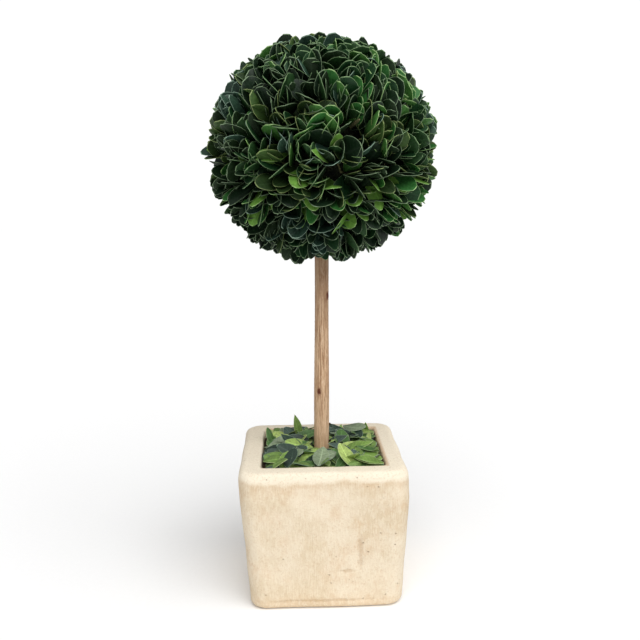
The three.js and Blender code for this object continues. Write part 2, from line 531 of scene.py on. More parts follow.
def mark_mask(clay, mark, ragged):
    """1 in the middle of a mark pressed into the front, 0 away from it, with a ragged border."""
    x, z, width, height, _ = mark
    shrunk = clay.node(
        "ShaderNodeMapping",
        {"vector_type": "TEXTURE"},
        {"Vector": clay.place, "Location": (x, FACE_Y, z), "Scale": (width, MARK_REACH, height)},
    )
    away = clay.node("ShaderNodeVectorMath", {"operation": "LENGTH"}, {0: shrunk})
    return 1 - clay.ease(away + (clay.noise(clay.place, 320, 3) - 0.5) * (2 * ragged), 0.3, 1.3)


def clay_finish():
    clay = Finish("cream_clay", Roughness=0.9, Specular_IOR_Level=0.25)
    across, deep, up = [clay.coordinate(clay.place, k) for k in (0, 1, 2)]
    wavy = up + (clay.noise(clay.place, 60, 2) - 0.5) * (9 * MM)

    # The wiping cloth: upright strokes, slanting ones in the middle, and short dabs.
    upright = clay.noise(clay.stretched((1400, 1400, 110)), 1, 3, 0.6)
    slant = clay.noise(clay.stretched((1000, 1000, 170), (0, 0.9, 0)), 1, 3, 0.6)
    dabs = clay.noise(clay.stretched((330, 330, 210), (0.3, 0.8, 0)), 1, 4, 0.65)
    middle = clay.ease(clay.noise(clay.place, 18, 1), 0.42, 0.6)
    strokes = (upright * (1 - middle) + slant * middle) * 0.55 + dabs * 0.45

    # The clay itself: grain, bubbles and the marks pressed into it.
    grain = clay.noise(clay.place, 700, 4, 0.7)
    cells = clay.node("ShaderNodeTexVoronoi", {}, {"Vector": clay.place, "Scale": 115})
    pits = 1 - clay.ease(cells, 0.02, 0.09)
    marks = mark_mask(clay, CREASE, 1.1) * 0.32
    for mark in (NICK, PIT, SEAM):
        marks = marks + mark_mask(clay, mark, 0.9) * 0.36

    # The rounded edge is painted pale as a painted highlight, and the flat top paler as painted
    # light against the ball's shadow. The lip inside it and the band below the edge are warmer.
    edge_highlight = clay.ease(wavy, 93 * MM, 97 * MM)
    under_edge = clay.ease(wavy, 88 * MM, 94 * MM) * (1 - edge_highlight)
    flat_top_light = clay.ease(up, 99 * MM, 101 * MM)
    from_middle = clay.math(
        "MAXIMUM", clay.math("ABSOLUTE", across) + 0.7 * MM, clay.math("ABSOLUTE", deep)
    )
    inside = 1 - clay.ease(from_middle + wavy * 0.05, 49.2 * MM, 51.4 * MM)
    lip = inside * clay.ease(up, 90 * MM, 97 * MM)

    # Each layer: where it lies, how strong it is, and its colour. Most are wash on the clay; the
    # edge and flat top layers are painted light, and the pits and marks layer is painted shade.
    layers = (
        (clay.ease(clay.noise(clay.place, 24, 3, 0.6), 0.38, 0.62), 1, "e8d9c0"),
        (clay.ease(clay.noise(clay.place, 41, 5, 0.65), 0.48, 0.68), 0.45, "d6b692"),
        (1 - clay.ease(wavy, 4 * MM, 13 * MM), 0.35, "dabb94"),
        (under_edge, 0.32, "d0b08a"),
        # Painted highlight on the rounded edge, and painted light on the flat top of the rim.
        (edge_highlight, 0.75, "f6ecd8"),
        (flat_top_light, 0.6, "fff3dc"),
        (lip, 0.75, "c79f74"),
        (clay.ease(strokes, 0.44, 0.6), 0.5, "efe3cd"),
        (clay.ease(grain, 0.5, 0.68), 0.34, "c8a882"),
        # Painted shade: the pits and the pressed marks are painted darker.
        (pits * 0.4 + marks, 1, "b08c64"),
    )
    colour = clay.layered("dbc8aa", layers)
    height = strokes * 0.6 + grain * 0.6 - pits * 1.2 - marks
    return clay.done(colour, 0.82 + 0.14 * grain, height, 0.7 * MM)


clay = clay_finish()
grow(pot, roughen, Height=0.45 * MM, Grain=62.0, Detail=2.0, Seed=3.0, Foot=1 * MM, Finish=clay)
settle(pot, "clay", "pot")

# %% [markdown]
# ## The stem
# A straight peeled stick about a centimetre thick. Peeled wood shows its grain as fine furrows
# along the stick, and every twig that was cut off has left a dark knot. The rings follow the line
# of the solid stem, which leans a little. The furrows are too fine for rings and are left to the
# finish.

# %% Stem sizes
stem_low, stem_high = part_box("stem")
STEM_FOOT_X = -1.8 * MM
STEM_TIP_X = 1.2 * MM
STEM_RADIUS_FOOT = 5.6 * MM
STEM_RADIUS = 5.15 * MM
TAPER_END = [100 * MM, 190 * MM]
STEM_SIDES = 40
STEM_RINGS = 230
RIPPLE = 0.12 * MM
SCRATCH = 0.03 * MM
KNOT_LENGTH = 3.2 * MM
# Each knot: height, degrees round from +X, and how far it stands proud.
KNOTS = ((216 * MM, -36, 0.5 * MM), (145 * MM, -112, 0.35 * MM), (262 * MM, 150, 0.45 * MM))


def stem_x(z):
    return np.interp(z, [stem_low.z, stem_high.z], [STEM_FOOT_X, STEM_TIP_X])


def stem_ring(z, rng):
    angle = np.linspace(0, 2 * math.pi, STEM_SIDES, endpoint=False)
    radius = np.interp(z, TAPER_END, [STEM_RADIUS_FOOT, STEM_RADIUS])
    relief = RIPPLE * (np.sin(2 * angle + z / (60 * MM)) + np.sin(z / (19 * MM)))
    relief += rng.normal(0, SCRATCH, STEM_SIDES)
    for height, towards, bump in KNOTS:
        turn = np.clip(np.cos(angle - math.radians(towards)), 0, 1)
        relief += bump * turn**14 * math.exp(-(((z - height) / KNOT_LENGTH) ** 2))
    reach = radius + relief
    return np.c_[stem_x(z) + reach * np.cos(angle), reach * np.sin(angle), np.full(STEM_SIDES, z)]


stem_rng = np.random.default_rng(5)
stem_heights = np.linspace(stem_low.z, stem_high.z, STEM_RINGS)
stem = new_piece("peeled_stem", *loft([stem_ring(z, stem_rng) for z in stem_heights]))
print("stem length:", round(stem_high.z - stem_low.z, 3))

# %% [markdown]
# ### Peeled wood
# The finish is a stack of thin layers: pale fibre with darker lines, flecks in it, and a dark stain
# round each knot. The fibre is a noise stretched along the stick. The stick is painted darker near
# the ball as the ball's painted shadow, and lighter near the pot as painted light.

# %% Peeled wood finish
STEM_SKIN = 5.4 * MM
KNOT_SIZES = (2.6 * MM, 2.2 * MM, 2.4 * MM)
KNOT_SQUASH = 0.6


def knot_mask(wood, height, towards, size):
    """1 on a knot and 0 away from it, longer along the stem than across."""
    angle = math.radians(towards)
    x, y = stem_x(height) + STEM_SKIN * math.cos(angle), STEM_SKIN * math.sin(angle)
    squashed = wood.stretched((1, 1, KNOT_SQUASH))
    spot = (x, y, height * KNOT_SQUASH)
    away = wood.node("ShaderNodeVectorMath", {"operation": "DISTANCE"}, {0: squashed, 1: spot})
    ragged = away + (wood.noise(wood.place, 700, 2) - 0.5) * (1.6 * MM)
    return 1 - wood.ease(ragged, 0.35 * size, size)


def wood_finish():
    wood = Finish("peeled_wood", Roughness=0.7, Specular_IOR_Level=0.3)
    up = wood.coordinate(wood.place, 2)
    fibre = wood.noise(wood.stretched((1000, 1000, 45)), 1, 3, 0.6)
    fleck = wood.noise(wood.stretched((1900, 1900, 260)), 1, 2, 0.6)
    patch = wood.noise(wood.place, 55, 2)
    knots = 0.0
    for (height, towards, _), size in zip(KNOTS, KNOT_SIZES):
        knots = knot_mask(wood, height, towards, size) + knots
    layers = (
        (wood.ease(fibre, 0.36, 0.62), 1, "d8b896"),
        (wood.ease(patch, 0.35, 0.7), 0.45, "b78e6b"),
        (wood.ease(fleck, 0.55, 0.7), 0.55, "855f43"),
        (1 - wood.ease(fleck, 0.32, 0.45), 0.5, "ecd3b6"),
        # Painted shadow of the ball: darker towards the top of the stick.
        (wood.ease(up, 170 * MM, 250 * MM), 0.5, "7d5f48"),
        # Painted light: lighter towards the pot, away from the ball's shadow.
        (wood.ease(up, 160 * MM, 100 * MM), 0.4, "e0bd9a"),
        (knots, 1, "5e2f1c"),
    )
    colour = wood.layered("9a7554", layers)
    return wood.done(colour, 0.6 + 0.2 * fibre, fibre + fleck * 0.5 - knots, 0.25 * MM)


stem.data.materials.append(wood_finish())
settle(stem, "peeled_wood", "stem")

# %% [markdown]
# ## Moss
# The pot is filled with dark dried moss, which holds the stem and shows only in the gaps between
# the loose leaves. The ball has a core of moss too, painted darker than the bed as painted shade
# inside the ball. Both are rough dark bodies; what the eye reads as moss is their broken outline
# and the loose fibres on top, which come further down.

# %% Moss finish and bodies
ball_low, ball_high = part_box("leaf_ball")
BALL = np.array([(ball_low.x + ball_high.x) / 2, (ball_low.y + ball_high.y) / 2, 318 * MM])
BALL_RADIUS = (ball_high.x - ball_low.x) / 2
BALL_FLATTEN = 0.975
CORE_RADIUS = 55.5 * MM
CORE_SIDES, CORE_RINGS = 96, 60
POLE_GAP = 0.03


def moss_finish(name, dark, pale):
    moss = Finish(name, Roughness=0.95, Specular_IOR_Level=0.2)
    clump = moss.noise(moss.place, 260, 4, 0.7)
    strand = moss.noise(moss.stretched((900, 500, 700), (0.4, 0.8, 0.2)), 1, 3, 0.7)
    light = moss.ease(clump * 0.6 + strand * 0.4, 0.4, 0.62)
    colour = moss.blend(light, linear(dark), linear(pale))
    return moss.done(colour, 0.85 + 0.12 * strand, clump + strand, 1.2 * MM)


def ball_of_moss():
    """A fine ball of level rings, with a small flat face at each pole."""
    turn = np.linspace(0, 2 * math.pi, CORE_SIDES, endpoint=False)
    top = math.pi / 2 - POLE_GAP
    rings = []
    for tilt in np.linspace(-top, top, CORE_RINGS):
        out, up = CORE_RADIUS * math.cos(tilt), CORE_RADIUS * BALL_FLATTEN * math.sin(tilt)
        rings.append(BALL + np.c_[out * np.cos(turn), out * np.sin(turn), np.full(CORE_SIDES, up)])
    return new_piece("core_moss_ball", *loft(rings))


# Painted shade: the core's moss is painted near black, darker than the moss in the pot.
core_moss = moss_finish("core_moss", "12150f", "2a2f1e")
core = ball_of_moss()
grow(core, roughen, Height=1.6 * MM, Grain=170.0, Detail=3.0, Seed=1.0, Foot=0.0, Finish=core_moss)
settle(core, "core_moss", "moss_core")

# %% [markdown]
# ### The bed
# The bed fills the cavity with a hair's gap all round and stops below the rim. Its top closes in
# rings towards the middle, which gives the roughening enough points to work on.

# %% The bed in the pot
BED_TOP = 95.5 * MM
BED_GAP = 0.3 * MM
# Points along a side and round a corner of a ring, then rings up the wall and across the top.
BED_STEPS = (24, 4)
WALL_RINGS, TOP_RINGS = 14, 22
TOP_FROM, TOP_TO = 0.97, 0.06


def bed_ring(z, share=1.0):
    half = share * (cavity_half(z) - BED_GAP)
    return square_ring(half, share * CAVITY_CORNER, z, rim_shift(z), *BED_STEPS)


bed_rings = [bed_ring(z) for z in np.linspace(POT_FLOOR + BED_GAP, BED_TOP, WALL_RINGS)]
bed_rings += [bed_ring(BED_TOP, share) for share in np.linspace(TOP_FROM, TOP_TO, TOP_RINGS)]
bed = new_piece("planting_moss", *loft(bed_rings))
moss = moss_finish("bed_moss", "241a12", "5a4935")
smooth_to = BED_TOP - 3 * MM
grow(bed, roughen, Height=1.1 * MM, Grain=150.0, Detail=3.0, Seed=8.0, Foot=smooth_to, Finish=moss)
settle(bed, "planting_moss", "filler")

# %% [markdown]
# ## A leaf
# A box leaf is a small leathery spoon: about 2 cm long, broadest past the middle, with a hem of
# thickened edge all round, a shallow groove over the midrib and a paler back. Some thousands of
# copies have to stay light, so a leaf is a closed skin of 66 faces: eight points round a thin
# section, at nine stations along it. Three zones of faces (upper side, hem, back) each take their
# own plain colour. The hem is painted pale, a painted highlight where the thick edge catches the
# light, which keeps that pale line crisp at any distance.

# %% Leaf pattern
UPPER, HEM, BACK = 0, 1, 2
STATIONS = np.array([0.0, 0.14, 0.32, 0.5, 0.68, 0.83, 0.93, 0.98, 1.0])
LEAF_THICK = 0.28 * MM
HEM_WIDTH = 0.22 * MM


def half_width(along, width, widest, base_taper, tip_taper):
    """The leaf's half width at each station: a sine bulge, pinched more at the base or the tip."""
    bulge = np.sin(math.pi * np.clip(along, 0.012, 0.988) ** (math.log(0.5) / math.log(widest)))
    return width / 2 * bulge ** (base_taper + (tip_taper - base_taper) * along)


def leaf_pattern(name, length, width, widest, tapers, cup, curl, fold, sway=0.0):
    """One leaf with its foot at the origin, along +Y, its upper side to +Z.

    cup lifts the edges, curl bends the tip up (in degrees), fold sinks the midrib and sway bends
    the leaf sideways.
    """
    half = half_width(STATIONS, width, widest, *tapers)
    inner = np.maximum(half - HEM_WIDTH, half * 0.35)
    bend = math.radians(curl) * STATIONS
    radius = length / max(abs(math.radians(curl)), 1e-3)
    sign = math.copysign(1, curl)
    middle_y = radius * np.sin(np.abs(bend))
    middle_z = sign * radius * (1 - np.cos(bend))
    rings = []
    places = []
    # Round the section: edge, upper side, midrib, upper side, edge, back, rib, back.
    thick = LEAF_THICK / 2 * np.array([0, 1, 0.6, 1, 0, -1, -1.5, -1])
    for s, a, b, y, z, turn in zip(STATIONS, half, inner, middle_y, middle_z, bend):
        x = np.array([-a, -b, 0, b, a, b, 0, -b])
        lift = cup * x**2 / (width / 2) + fold * np.abs(x)
        up = lift + thick
        side = sway * length * s**2
        rings.append(np.c_[x + side, y - up * math.sin(turn), z + up * math.cos(turn)])
        places.append(np.c_[x / a, np.full(8, s), np.zeros(8)])
    count = len(STATIONS) - 1
    faces = []
    zones = []
    for i in range(count):
        for k in range(8):
            m = (k + 1) % 8
            faces.append((8 * i + k, 8 * (i + 1) + k, 8 * (i + 1) + m, 8 * i + m))
            # The faces beside the edge are hem, and so are all those at the tip. The hem takes the
            # painted highlight.
            hem_highlight = k in (0, 3, 4, 7) or i == count - 1
            zones.append(HEM if hem_highlight else UPPER if k in (1, 2) else BACK)
    faces += [tuple(range(8)), tuple(8 * count + k for k in range(7, -1, -1))]
    zones += [HEM, HEM]
    leaf = new_piece(name, np.concatenate(rings), faces)
    leaf.data.attributes.new("zone", "INT", "FACE").data.foreach_set("value", zones)
    place = leaf.data.attributes.new("leaf_place", "FLOAT_VECTOR", "POINT")
    place.data.foreach_set("vector", np.concatenate(places).ravel())
    scene.collection.objects.unlink(leaf)
    return leaf


def pattern_set(name, leaves):
    patterns = bpy.data.collections.new(name)
    for leaf in leaves:
        patterns.objects.link(leaf)
    return patterns


print("stations along a leaf:", len(STATIONS))

# %% [markdown]
# ### Six kinds of box leaf
# No two box leaves are quite alike, so there are six patterns, four broad and two narrow. Each has
# its own width, cup and curl, and one of them bends down instead of up. Chance sizes do the rest.

# %% Box leaf patterns
BOX_LENGTH = 21.5 * MM
ROUND, BLUNT = (1.05, 0.42), (1.0, 0.52)
box_patterns = pattern_set(
    "box_leaf_patterns",
    [
        leaf_pattern("box_1", BOX_LENGTH, 15.4 * MM, 0.56, ROUND, 0.22, 30, 0.05),
        leaf_pattern("box_2", BOX_LENGTH, 14.6 * MM, 0.60, ROUND, 0.34, 48, 0.02),
        leaf_pattern("box_3", BOX_LENGTH, 12.2 * MM, 0.54, BLUNT, 0.12, 16, 0.10, 0.04),
        leaf_pattern("box_4", BOX_LENGTH, 15.0 * MM, 0.58, ROUND, 0.18, -14, 0.06),
        leaf_pattern("box_5", BOX_LENGTH, 11.4 * MM, 0.52, BLUNT, 0.26, 36, 0.08, -0.05),
        leaf_pattern("box_6", BOX_LENGTH, 16.2 * MM, 0.60, ROUND, 0.10, 12, 0.04, 0.03),
    ],
)

# %% [markdown]
# ## The tree that sets leaves
# Every leaf has a foot, a direction to grow in and a direction for its upper side to face. Those
# are stored on plain points; this tree picks a pattern for each point, turns it, sizes it and
# joins the lot. The three zones take their finishes at the end.


# %% Leaf-setting tree
def named(board, name, kind):
    return board.node("GeometryNodeInputNamedAttribute", {"data_type": kind}, {"Name": name})


def leaf_setting_tree():
    board, given = new_tree(
        "set_leaves",
        Patterns="collection",
        Size=float,
        Spread=float,
        Seed=int,
        Upper="material",
        Hem="material",
        Back="material",
    )
    turn = board.node(
        "FunctionNodeAxesToRotation",
        {"primary_axis": "Y", "secondary_axis": "Z"},
        {0: named(board, "along", "FLOAT_VECTOR"), 1: named(board, "facing", "FLOAT_VECTOR")},
    )
    chance = board.node(
        "FunctionNodeRandomValue",
        {"data_type": "FLOAT"},
        {"Min": 1 - given["Spread"], "Max": 1 + given["Spread"], "Seed": given["Seed"]},
    )
    picked = board.node(
        "GeometryNodeCollectionInfo",
        {},
        {"Collection": given["Patterns"], "Separate Children": True, "Reset Children": True},
    )
    leaves = board.node(
        "GeometryNodeInstanceOnPoints",
        {},
        {
            "Points": given["Geometry"],
            "Instance": picked,
            "Pick Instance": True,
            "Instance Index": named(board, "pattern", "INT"),
            "Rotation": turn,
            "Scale": named(board, "size", "FLOAT") * given["Size"] * chance,
        },
    )
    mesh = board.node("GeometryNodeRealizeInstances", {}, {"Geometry": leaves})
    for zone, label in ((UPPER, "Upper"), (HEM, "Hem"), (BACK, "Back")):
        in_zone = board.node(
            "FunctionNodeCompare",
            {"data_type": "INT", "operation": "EQUAL"},
            {"A": named(board, "zone", "INT"), "B": zone},
        )
        mesh = surface_material(mesh, given[label], in_zone)
    return end_tree(board, mesh)


set_leaves = leaf_setting_tree()
print("set_leaves:", len(set_leaves.nodes), "nodes")

# %% [markdown]
# ## Leaf skin
# Every point of a leaf knows how far across and how far along the leaf it lies. From that come the
# pale midrib, the slanting side veins and a darker foot, painted shade where the leaf sits among
# the others; the slight mottle and pebbling come from the place on the whole plant, so that no two
# leaves are alike.

# %% Leaf finishes
SIDE_VEINS = 9
VEIN_SLANT = 1.4
MOTTLE = 0.18
PEBBLE_DEPTH = 0.08 * MM


def veins_of(leaf):
    """How far along the leaf a place is, and whether it is on the midrib (1) or a side vein (1)."""
    place = leaf.node("ShaderNodeAttribute", {"attribute_name": "leaf_place"}, out=1)
    along = leaf.coordinate(place, 1)
    across = leaf.math("ABSOLUTE", leaf.coordinate(place, 0))
    slant = leaf.math("FRACT", along * SIDE_VEINS - across * VEIN_SLANT)
    off_vein = leaf.math("ABSOLUTE", slant - 0.5)
    rib = 1 - leaf.ease(across, 0.03, 0.12)
    return along, rib, (1 - leaf.ease(off_vein, 0.04, 0.16)) * (1 - leaf.ease(across, 0.6, 0.9))


def leaf_finish(name, code, gloss, shine, veins):
    """A plain leaf colour with veins and the slight mottle that leathery leaves have."""
    colour = np.array(linear(code))
    leaf = Finish(name, Specular_IOR_Level=shine)
    cloud = leaf.noise(leaf.place, 420, 2)
    shades = [tuple(np.clip(colour * (1 + s * MOTTLE), 0, 1)[:3]) + (1,) for s in (-1, 1)]
    tone = leaf.blend(leaf.ease(cloud, 0.3, 0.7), *shades)
    pebbles = leaf.noise(leaf.place, 1500, 2)
    if veins == 0:
        return leaf.done(tone, gloss + 0.12 * cloud, pebbles, PEBBLE_DEPTH)
    along, rib, side = veins_of(leaf)
    pale = tuple(np.clip(colour * 1.7 + 0.02, 0, 1)[:3]) + (1,)
    dark = tuple(colour[:3] * 0.35) + (1,)
    # Painted shade: the leaf is painted darker towards its foot.
    shaded = leaf.blend((1 - leaf.ease(along, 0.1, 0.8)) * 0.5, tone, dark)
    veined = leaf.blend((rib + side * 0.35) * veins, shaded, pale)
    return leaf.done(veined, gloss + 0.12 * cloud, pebbles - rib - side * 0.5, PEBBLE_DEPTH)


def finishes_for(name, upper, hem_highlight, back, gloss, veins, shine):
    """The three finishes of one tint. The thick hem is painted pale as a painted highlight; it is
    smoother, and bare of veins.
    """
    return {
        "Upper": leaf_finish(f"{name}_upper", upper, gloss, shine=shine, veins=veins),
        "Hem": leaf_finish(f"{name}_hem", hem_highlight, 0.4, shine=0.35, veins=0),
        "Back": leaf_finish(f"{name}_back", back, gloss + 0.14, shine=shine, veins=veins),
    }


print("side veins in a leaf:", SIDE_VEINS)


# %% [markdown]
# ## Sprigs
# The rule the florist follows: sprig feet go into the moss on an even spiral, each sprig runs out
# to a fork, and from the fork its shoots fan out until the whole ball is covered. A shoot ends in
# a rosette: pairs of leaves, each pair crossing the one below at a right angle, the youngest pair
# nearly closed and the oldest lying back. High on the ball the shoots reach up, and below its waist
# they droop. The random numbers come from one seed, so the same plant grows every time.

# %% Sprig rule: feet, forks and shoots
SPRIGS = 110
SHOOTS = 330
FORK_RADIUS = 58 * MM
TIP_RADIUS = 64 * MM
TIP_SPREAD = 2.2 * MM
FOOT_STRAY, SHOOT_STRAY, AXIS_STRAY = 0.04, 0.05, 0.13
SPLAY = 0.3
# How far shoots lean up, or down below 0, by height on the ball from its foot (-1) to its top (1).
LEAN_HEIGHTS = [-1.0, -0.65, -0.3, 0.1, 0.6, 1.0]
LEAN = [-0.2, -0.6, -0.2, 0.7, 1.1, 0.5]
STEM_CLEARANCE = math.cos(math.radians(11))

sprig_rng = np.random.default_rng(24)


def sunflower(count):
    """Directions spread evenly over a ball, each a golden angle round from the last."""
    i = np.arange(count) + 0.5
    up = 1 - 2 * i / count
    turn = i * math.pi * (3 - math.sqrt(5))
    out = np.sqrt(1 - up**2)
    return np.c_[out * np.cos(turn), out * np.sin(turn), up]


def clear_of_stem(ways):
    return ways[-ways[:, 2] < STEM_CLEARANCE]


feet = clear_of_stem(unit(sunflower(SPRIGS) + sprig_rng.normal(0, FOOT_STRAY, (SPRIGS, 3))))
stray = sprig_rng.normal(0, SHOOT_STRAY, (SHOOTS, 3))
shoot_ways = clear_of_stem(unit(sunflower(SHOOTS) + stray))
sprig_of = np.argmax(shoot_ways @ feet.T, axis=1)
flatten = np.array([1, 1, BALL_FLATTEN])
fork_at = BALL + feet * FORK_RADIUS * flatten
reach = TIP_RADIUS + sprig_rng.normal(0, TIP_SPREAD, len(shoot_ways))
tip_at = BALL + shoot_ways * reach[:, None] * flatten
splay = unit(tip_at - fork_at[sprig_of])
lean = np.c_[np.zeros((len(tip_at), 2)), np.interp(shoot_ways[:, 2], LEAN_HEIGHTS, LEAN)]
stray = sprig_rng.normal(0, AXIS_STRAY, tip_at.shape)
shoot_axis = unit(shoot_ways + SPLAY * splay + lean + stray)
print("sprigs:", len(feet), "shoots:", len(tip_at))

# %% [markdown]
# ## Rosettes
# On a shoot that points sideways one pair of leaves lies level and the next stands above and below.
# All of them twist at the foot to turn their upper sides to the light, and that twist gives the
# ball its look. High up, the leaves stand like scales and show their whole faces. From the waist
# down they lie flatter and are seen aslant, in rows of long shapes with pale edges.

# %% Rosettes of leaves
# Each pair of a shoot, youngest first: how far below the tip, how far open, and how large.
PAIR_BELOW_TIP = np.array([0.6, 3.6, 7.2, 10.8]) * MM
PAIR_OPEN = np.radians([11, 23, 37, 50])
PAIR_SIZE = np.array([0.84, 0.98, 1.04, 1.0])
SIZE_RANGE = (0.84, 1.18)
FULL_SHARE = 0.5
SHOOT_HALF = 0.4 * MM
# How far chance turns a rosette, a pair round the shoot, a leaf open, and a leaf on its own axis.
START_STRAY, PAIR_STRAY, OPEN_STRAY, ROLL = 0.35, 0.16, 0.2, 0.42
# How much larger than at the waist the leaves are at the top, where they get more light.
HIGH_GROWTH = 0.16
# How strongly leaves turn outwards and upwards, by height on the ball.
TURN_HEIGHTS = [-0.5, 0.1, 0.5]
OUT_TURN = [0.7, 1.3, 2.1]
UP_TURN = [1.9, 1.5, 0.2]


def side_of(axis):
    """Two directions at right angles to an axis, the first of them level."""
    level = unit(np.cross([0, 0, 1.0], axis + [1e-6, 0, 0]))
    return level, np.cross(axis, level)


def rolled(facing, along, roll):
    """A facing squared up to the leaf's direction, then rolled about it."""
    facing = unit(facing - along * (facing @ along))
    return math.cos(roll) * facing + math.sin(roll) * np.cross(along, facing)


def rosette(tip, axis, rng):
    """The feet, directions, facings and sizes of one shoot's leaves."""
    first, second = side_of(axis)
    outwards = unit(tip - BALL)
    out_turn, up_turn = (np.interp(outwards[2], TURN_HEIGHTS, t) for t in (OUT_TURN, UP_TURN))
    to_light = out_turn * outwards + [0, 0, up_turn]
    growth = 1 + HIGH_GROWTH * max(0, outwards[2])
    start = rng.choice([0, math.pi / 2]) + rng.normal(0, START_STRAY)
    leaves = []
    for pair in range(4 if rng.random() < FULL_SHARE else 3):
        for side in (0, math.pi):
            turn = start + pair * math.pi / 2 + side + rng.normal(0, PAIR_STRAY)
            open_by = PAIR_OPEN[pair] + rng.normal(0, OPEN_STRAY)
            away = math.cos(turn) * first + math.sin(turn) * second
            along = math.cos(open_by) * axis + math.sin(open_by) * away
            facing = math.sin(open_by) * axis - math.cos(open_by) * away + to_light
            facing = rolled(facing, along, rng.normal(0, ROLL))
            size = PAIR_SIZE[pair] * rng.uniform(*SIZE_RANGE) * growth
            foot = tip - axis * PAIR_BELOW_TIP[pair] + away * SHOOT_HALF
            leaves.append((foot, along, facing, size))
    return leaves


print("leaves on a full shoot:", 2 * len(PAIR_OPEN))

# %% [markdown]
# ### Clipping
# Shears leave a ball with an even outline. To cut leaves off would show straight edges, so a leaf
# that sticks out is slid inwards until its tip is just inside the outline, by a chance depth. The
# top is clipped a little lower, and under the ball some leaves hang out.

# %% Clip to the outline
OUTLINE = BALL_RADIUS + 0.6 * MM
OUTLINE_SPREAD = 1.7 * MM
# How much closer to the middle, as a share, the top is clipped than the sides.
TOP_CUT = 0.035
TIP_REACH = 0.93
# Some leaves under the ball, below this height, hang out past the outline.
HANGING_BELOW, HANGING_SHARE, HANGING_OUT = -0.8, 0.25, 3 * MM


def clipped(foot, along, size, rng):
    """Slides a leaf inwards until its tip is inside the clipped outline of the ball."""
    tip = (foot + along * size * BOX_LENGTH * TIP_REACH - BALL) / flatten
    hangs = tip[2] < HANGING_BELOW * BALL_RADIUS and rng.random() < HANGING_SHARE
    outline = OUTLINE + (HANGING_OUT if hangs else -abs(rng.normal(0, OUTLINE_SPREAD)))
    outline *= 1 - TOP_CUT * max(0.0, unit(tip)[2])
    return foot - unit(tip) * max(0.0, np.linalg.norm(tip) - outline)


print("outline:", round(1000 * OUTLINE, 1), "mm from the middle")

# %% [markdown]
# ## Dealing out the tints
# Leaves of one sprig are mostly of one age and one green, so tints are dealt out by sprig, and then
# half of the leaves draw their own. Bright greens are likelier on the sunny right, as painted
# light, and dark ones below, as painted shade under the ball. A few leaves below the waist have
# turned over and show pale lime backs.

# %% Deal the leaves out
# Each tint: its share, the colours of the upper side, the hem (a painted highlight) and the back,
# and its roughness.
BOX_TINTS = {
    "deep": (0.37, "122514", "728967", "182b14", 0.36),
    "forest": (0.33, "16371b", "769466", "1e3d1b", 0.36),
    "olive": (0.12, "243819", "84965c", "365022", 0.38),
    "blue": (0.07, "233a2e", "87a28e", "2c4636", 0.31),
    "bright": (0.12, "30662e", "98ba7a", "3d6c2e", 0.35),
    "lime": (0.0, "326c2e", "8fb26c", "5f8b36", 0.38),
}
OWN_TINT = 0.5
# The share of leaves that have turned over, and between which heights on the ball.
TURNED = 0.1
TURNED_FROM, TURNED_TO = -0.8, 0.0
# How much likelier a tint gets towards a side of the ball: its tint, the side, and by how much.
# The bright tint on the right and fewer bright leaves below are painted light; the deep tint below
# is painted shade.
FAVOURS_AND_PAINTED_LIGHT = (
    ("bright", (1, 0, 0), 2.5),
    ("bright", (0, 0, -1), -0.6),
    ("deep", (0, 0, -1), 6.0),
    ("blue", (-1, 0, 0), 1.5),
)
# Which patterns are broad and narrow, and the share of narrow ones by height on the ball.
BROAD, NARROW = (0, 1, 3, 5), (2, 4)
NARROW_SHARE = ([-0.3, 0.3], [0.65, 0.12])
tint_names = list(BOX_TINTS)


def deal_tint(way, rng):
    """A tint by chance, for a leaf or sprig that lies this way from the ball's middle."""
    likelier = dict.fromkeys(tint_names, 1.0)
    for name, side, strength in FAVOURS_AND_PAINTED_LIGHT:
        likelier[name] += strength * max(0.0, way @ side)
    share = np.array([BOX_TINTS[name][0] * likelier[name] for name in tint_names])
    return rng.choice(tint_names, p=share / share.sum())


tint_of_sprig = [deal_tint(way, sprig_rng) for way in feet]
dealt = {name: [] for name in BOX_TINTS}
for tip, axis, way, sprig in zip(tip_at, shoot_axis, shoot_ways, sprig_of):
    for foot, along, facing, size in rosette(tip, axis, sprig_rng):
        tint = tint_of_sprig[sprig]
        if sprig_rng.random() < OWN_TINT:
            tint = deal_tint(way, sprig_rng)
        narrow_share = np.interp(way[2], *NARROW_SHARE)
        if TURNED_FROM < way[2] < TURNED_TO and sprig_rng.random() < TURNED:
            facing, tint, narrow_share = -facing, "lime", 1
        foot = clipped(foot, along, size, sprig_rng)
        pattern = sprig_rng.choice(NARROW if sprig_rng.random() < narrow_share else BROAD)
        dealt[tint].append((foot, along, facing, size, pattern))
print("leaves:", {name: len(rows) for name, rows in dealt.items()})

# %% [markdown]
# ## Growing the leaves
# All leaves of one tint become one piece. Its feet are plain points that carry what the tree needs
# to know, and the tree gives back one mesh with three finishes. The loose leaves in the pot are
# grown the same way further down.


# %% Grow the leaves
def leaf_points(name, rows):
    """A cloud of leaf feet that carries each leaf's direction, facing, size and pattern."""
    feet, along, facing, size, pattern = (np.array(column) for column in zip(*rows))
    cloud = new_piece(name, feet)
    for label, kind, values in (
        ("along", "FLOAT_VECTOR", along),
        ("facing", "FLOAT_VECTOR", facing),
        ("size", "FLOAT", size),
        ("pattern", "INT", pattern),
    ):
        field = "vector" if kind == "FLOAT_VECTOR" else "value"
        cloud.data.attributes.new(label, kind, "POINT").data.foreach_set(field, values.ravel())
    return cloud


